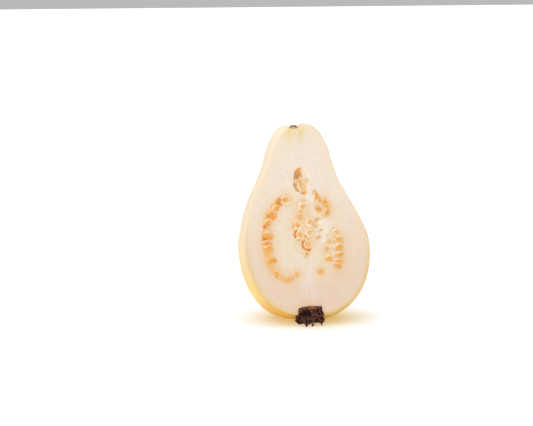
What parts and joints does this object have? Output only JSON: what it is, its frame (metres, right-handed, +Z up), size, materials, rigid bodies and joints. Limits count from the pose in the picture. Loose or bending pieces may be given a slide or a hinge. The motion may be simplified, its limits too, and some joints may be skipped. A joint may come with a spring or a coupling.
{
  "type": "cut half of a pear-shaped guava",
  "caption": "Half of a ripe pear-shaped yellow guava, cut lengthwise, with seeds in pulp, a dried calyx crown and a stem scar, standing on its blossom end.",
  "frame": {"origin": "on the surface that the half stands on, under the middle of its bounding box", "axes": "+Z up along the fruit, from the blossom end to the stem end; -Y is the side of the cut face, which leans back 17 degrees; +X to the right as the cut face is looked at"},
  "size_m": [0.064, 0.0558, 0.0951],
  "materials": {
    "flesh": "moist cream flesh inside a thin waxy yellow skin",
    "seed_pulp": "wet, half-clear orange-yellow seeds and pulp",
    "dry_calyx": "dry, brittle, dark brown",
    "dry_stem": "dry, corky, brown"
  },
  "bodies": {
    "root": {"guava_half": "flesh", "seeds_left_arc": "seed_pulp", "seeds_centre_column": "seed_pulp", "seeds_upper_right": "seed_pulp", "seeds_lower_right": "seed_pulp", "seed_lone": "seed_pulp", "calyx_crown": "dry_calyx", "stem_scar": "dry_stem"}
  },
  "joints": []
}
